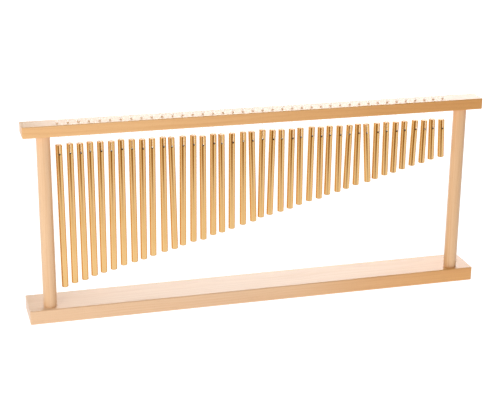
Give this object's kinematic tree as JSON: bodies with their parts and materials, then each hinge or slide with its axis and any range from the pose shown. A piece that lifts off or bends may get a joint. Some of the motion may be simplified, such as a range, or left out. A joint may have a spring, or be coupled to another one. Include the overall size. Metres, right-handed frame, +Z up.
{
  "type": "bar chimes",
  "caption": "Table-top bar chimes: a row of gold rods, graduated from long to short, hung on nylon loops from the beam of a free-standing beech stand with round posts and a plank base.",
  "frame": {"origin": "on the surface that the base rests on, under the middle of the base, which is the bottom centre of the whole object's box", "axes": "+Z up, +X along the row from the longest chime to the shortest, +Y from the player's side to the back"},
  "size_m": [0.703, 0.0644, 0.304],
  "materials": {
    "beech": "pale beech, sanded and clear-oiled, satin",
    "gold_rod": "gold-anodised drawn rod, fine lengthwise brushing, bright",
    "nylon_line": "clear monofilament, glossy",
    "screw_steel": "zinc-plated"
  },
  "bodies": {
    "stand": {"base_plank": "beech", "left_post": "beech", "right_post": "beech", "top_beam": "beech", "base_screws": "screw_steel", "string_knots": "nylon_line"},
    "chime_01": {"chime_01": "gold_rod"},
    "chime_02": {"chime_02": "gold_rod"},
    "chime_03": {"chime_03": "gold_rod"},
    "chime_04": {"chime_04": "gold_rod"},
    "chime_05": {"chime_05": "gold_rod"},
    "chime_06": {"chime_06": "gold_rod"},
    "chime_07": {"chime_07": "gold_rod"},
    "chime_08": {"chime_08": "gold_rod"},
    "chime_09": {"chime_09": "gold_rod"},
    "chime_10": {"chime_10": "gold_rod"},
    "chime_11": {"chime_11": "gold_rod"},
    "chime_12": {"chime_12": "gold_rod"},
    "chime_13": {"chime_13": "gold_rod"},
    "chime_14": {"chime_14": "gold_rod"},
    "chime_15": {"chime_15": "gold_rod"},
    "chime_16": {"chime_16": "gold_rod"},
    "chime_17": {"chime_17": "gold_rod"},
    "chime_18": {"chime_18": "gold_rod"},
    "chime_19": {"chime_19": "gold_rod"},
    "chime_20": {"chime_20": "gold_rod"},
    "chime_21": {"chime_21": "gold_rod"},
    "chime_22": {"chime_22": "gold_rod"},
    "chime_23": {"chime_23": "gold_rod"},
    "chime_24": {"chime_24": "gold_rod"},
    "chime_25": {"chime_25": "gold_rod"},
    "chime_26": {"chime_26": "gold_rod"},
    "chime_27": {"chime_27": "gold_rod"},
    "chime_28": {"chime_28": "gold_rod"},
    "chime_29": {"chime_29": "gold_rod"},
    "chime_30": {"chime_30": "gold_rod"},
    "chime_31": {"chime_31": "gold_rod"},
    "chime_32": {"chime_32": "gold_rod"},
    "chime_33": {"chime_33": "gold_rod"},
    "chime_34": {"chime_34": "gold_rod"},
    "chime_35": {"chime_35": "gold_rod"},
    "chime_36": {"chime_36": "gold_rod"},
    "chime_37": {"chime_37": "gold_rod"},
    "chime_38": {"chime_38": "gold_rod"},
    "chime_39": {"chime_39": "gold_rod"},
    "chime_40": {"chime_40": "gold_rod"}
  },
  "joints": [
    {"name": "chime_01_swing", "type": "hinge", "parent": "stand", "child": "chime_01", "pos_m": [-0.29895, -0.0155, 0.2834], "axis": [1, 0, 0], "range_deg": [-40, 40]},
    {"name": "chime_02_swing", "type": "hinge", "parent": "stand", "child": "chime_02", "pos_m": [-0.28385, -0.0155, 0.2834], "axis": [1, 0, 0], "range_deg": [-40, 40]},
    {"name": "chime_03_swing", "type": "hinge", "parent": "stand", "child": "chime_03", "pos_m": [-0.26875, -0.0155, 0.2834], "axis": [1, 0, 0], "range_deg": [-40, 40]},
    {"name": "chime_04_swing", "type": "hinge", "parent": "stand", "child": "chime_04", "pos_m": [-0.25365, -0.0155, 0.2834], "axis": [1, 0, 0], "range_deg": [-40, 40]},
    {"name": "chime_05_swing", "type": "hinge", "parent": "stand", "child": "chime_05", "pos_m": [-0.23855, -0.0155, 0.2834], "axis": [1, 0, 0], "range_deg": [-40, 40]},
    {"name": "chime_06_swing", "type": "hinge", "parent": "stand", "child": "chime_06", "pos_m": [-0.22345, -0.0155, 0.2834], "axis": [1, 0, 0], "range_deg": [-40, 40]},
    {"name": "chime_07_swing", "type": "hinge", "parent": "stand", "child": "chime_07", "pos_m": [-0.20835, -0.0155, 0.2834], "axis": [1, 0, 0], "range_deg": [-40, 40]},
    {"name": "chime_08_swing", "type": "hinge", "parent": "stand", "child": "chime_08", "pos_m": [-0.19325, -0.0155, 0.2834], "axis": [1, 0, 0], "range_deg": [-40, 40]},
    {"name": "chime_09_swing", "type": "hinge", "parent": "stand", "child": "chime_09", "pos_m": [-0.17815, -0.0155, 0.2834], "axis": [1, 0, 0], "range_deg": [-40, 40]},
    {"name": "chime_10_swing", "type": "hinge", "parent": "stand", "child": "chime_10", "pos_m": [-0.16305, -0.0155, 0.2834], "axis": [1, 0, 0], "range_deg": [-40, 40]},
    {"name": "chime_11_swing", "type": "hinge", "parent": "stand", "child": "chime_11", "pos_m": [-0.14795, -0.0155, 0.2834], "axis": [1, 0, 0], "range_deg": [-40, 40]},
    {"name": "chime_12_swing", "type": "hinge", "parent": "stand", "child": "chime_12", "pos_m": [-0.13285, -0.0155, 0.2834], "axis": [1, 0, 0], "range_deg": [-40, 40]},
    {"name": "chime_13_swing", "type": "hinge", "parent": "stand", "child": "chime_13", "pos_m": [-0.11775, -0.0155, 0.2834], "axis": [1, 0, 0], "range_deg": [-40, 40]},
    {"name": "chime_14_swing", "type": "hinge", "parent": "stand", "child": "chime_14", "pos_m": [-0.10265, -0.0155, 0.2834], "axis": [1, 0, 0], "range_deg": [-40, 40]},
    {"name": "chime_15_swing", "type": "hinge", "parent": "stand", "child": "chime_15", "pos_m": [-0.08755, -0.0155, 0.2834], "axis": [1, 0, 0], "range_deg": [-40, 40]},
    {"name": "chime_16_swing", "type": "hinge", "parent": "stand", "child": "chime_16", "pos_m": [-0.07245, -0.0155, 0.2834], "axis": [1, 0, 0], "range_deg": [-40, 40]},
    {"name": "chime_17_swing", "type": "hinge", "parent": "stand", "child": "chime_17", "pos_m": [-0.05735, -0.0155, 0.2834], "axis": [1, 0, 0], "range_deg": [-40, 40]},
    {"name": "chime_18_swing", "type": "hinge", "parent": "stand", "child": "chime_18", "pos_m": [-0.04225, -0.0155, 0.2834], "axis": [1, 0, 0], "range_deg": [-40, 40]},
    {"name": "chime_19_swing", "type": "hinge", "parent": "stand", "child": "chime_19", "pos_m": [-0.02715, -0.0155, 0.2834], "axis": [1, 0, 0], "range_deg": [-40, 40]},
    {"name": "chime_20_swing", "type": "hinge", "parent": "stand", "child": "chime_20", "pos_m": [-0.01205, -0.0155, 0.2834], "axis": [1, 0, 0], "range_deg": [-40, 40]},
    {"name": "chime_21_swing", "type": "hinge", "parent": "stand", "child": "chime_21", "pos_m": [0.00305, -0.0155, 0.2834], "axis": [1, 0, 0], "range_deg": [-40, 40]},
    {"name": "chime_22_swing", "type": "hinge", "parent": "stand", "child": "chime_22", "pos_m": [0.01815, -0.0155, 0.2834], "axis": [1, 0, 0], "range_deg": [-40, 40]},
    {"name": "chime_23_swing", "type": "hinge", "parent": "stand", "child": "chime_23", "pos_m": [0.03325, -0.0155, 0.2834], "axis": [1, 0, 0], "range_deg": [-40, 40]},
    {"name": "chime_24_swing", "type": "hinge", "parent": "stand", "child": "chime_24", "pos_m": [0.04835, -0.0155, 0.2834], "axis": [1, 0, 0], "range_deg": [-40, 40]},
    {"name": "chime_25_swing", "type": "hinge", "parent": "stand", "child": "chime_25", "pos_m": [0.06345, -0.0155, 0.2834], "axis": [1, 0, 0], "range_deg": [-40, 40]},
    {"name": "chime_26_swing", "type": "hinge", "parent": "stand", "child": "chime_26", "pos_m": [0.07855, -0.0155, 0.2834], "axis": [1, 0, 0], "range_deg": [-40, 40]},
    {"name": "chime_27_swing", "type": "hinge", "parent": "stand", "child": "chime_27", "pos_m": [0.09365, -0.0155, 0.2834], "axis": [1, 0, 0], "range_deg": [-40, 40]},
    {"name": "chime_28_swing", "type": "hinge", "parent": "stand", "child": "chime_28", "pos_m": [0.10875, -0.0155, 0.2834], "axis": [1, 0, 0], "range_deg": [-40, 40]},
    {"name": "chime_29_swing", "type": "hinge", "parent": "stand", "child": "chime_29", "pos_m": [0.12385, -0.0155, 0.2834], "axis": [1, 0, 0], "range_deg": [-40, 40]},
    {"name": "chime_30_swing", "type": "hinge", "parent": "stand", "child": "chime_30", "pos_m": [0.13895, -0.0155, 0.2834], "axis": [1, 0, 0], "range_deg": [-40, 40]},
    {"name": "chime_31_swing", "type": "hinge", "parent": "stand", "child": "chime_31", "pos_m": [0.15405, -0.0155, 0.2834], "axis": [1, 0, 0], "range_deg": [-40, 40]},
    {"name": "chime_32_swing", "type": "hinge", "parent": "stand", "child": "chime_32", "pos_m": [0.16915, -0.0155, 0.2834], "axis": [1, 0, 0], "range_deg": [-40, 40]},
    {"name": "chime_33_swing", "type": "hinge", "parent": "stand", "child": "chime_33", "pos_m": [0.18425, -0.0155, 0.2834], "axis": [1, 0, 0], "range_deg": [-40, 40]},
    {"name": "chime_34_swing", "type": "hinge", "parent": "stand", "child": "chime_34", "pos_m": [0.19935, -0.0155, 0.2834], "axis": [1, 0, 0], "range_deg": [-40, 40]},
    {"name": "chime_35_swing", "type": "hinge", "parent": "stand", "child": "chime_35", "pos_m": [0.21445, -0.0155, 0.2834], "axis": [1, 0, 0], "range_deg": [-40, 40]},
    {"name": "chime_36_swing", "type": "hinge", "parent": "stand", "child": "chime_36", "pos_m": [0.22955, -0.0155, 0.2834], "axis": [1, 0, 0], "range_deg": [-40, 40]},
    {"name": "chime_37_swing", "type": "hinge", "parent": "stand", "child": "chime_37", "pos_m": [0.24465, -0.0155, 0.2834], "axis": [1, 0, 0], "range_deg": [-40, 40]},
    {"name": "chime_38_swing", "type": "hinge", "parent": "stand", "child": "chime_38", "pos_m": [0.25975, -0.0155, 0.2834], "axis": [1, 0, 0], "range_deg": [-40, 40]},
    {"name": "chime_39_swing", "type": "hinge", "parent": "stand", "child": "chime_39", "pos_m": [0.27485, -0.0155, 0.2834], "axis": [1, 0, 0], "range_deg": [-40, 40]},
    {"name": "chime_40_swing", "type": "hinge", "parent": "stand", "child": "chime_40", "pos_m": [0.28995, -0.0155, 0.2834], "axis": [1, 0, 0], "range_deg": [-40, 40]}
  ]
}
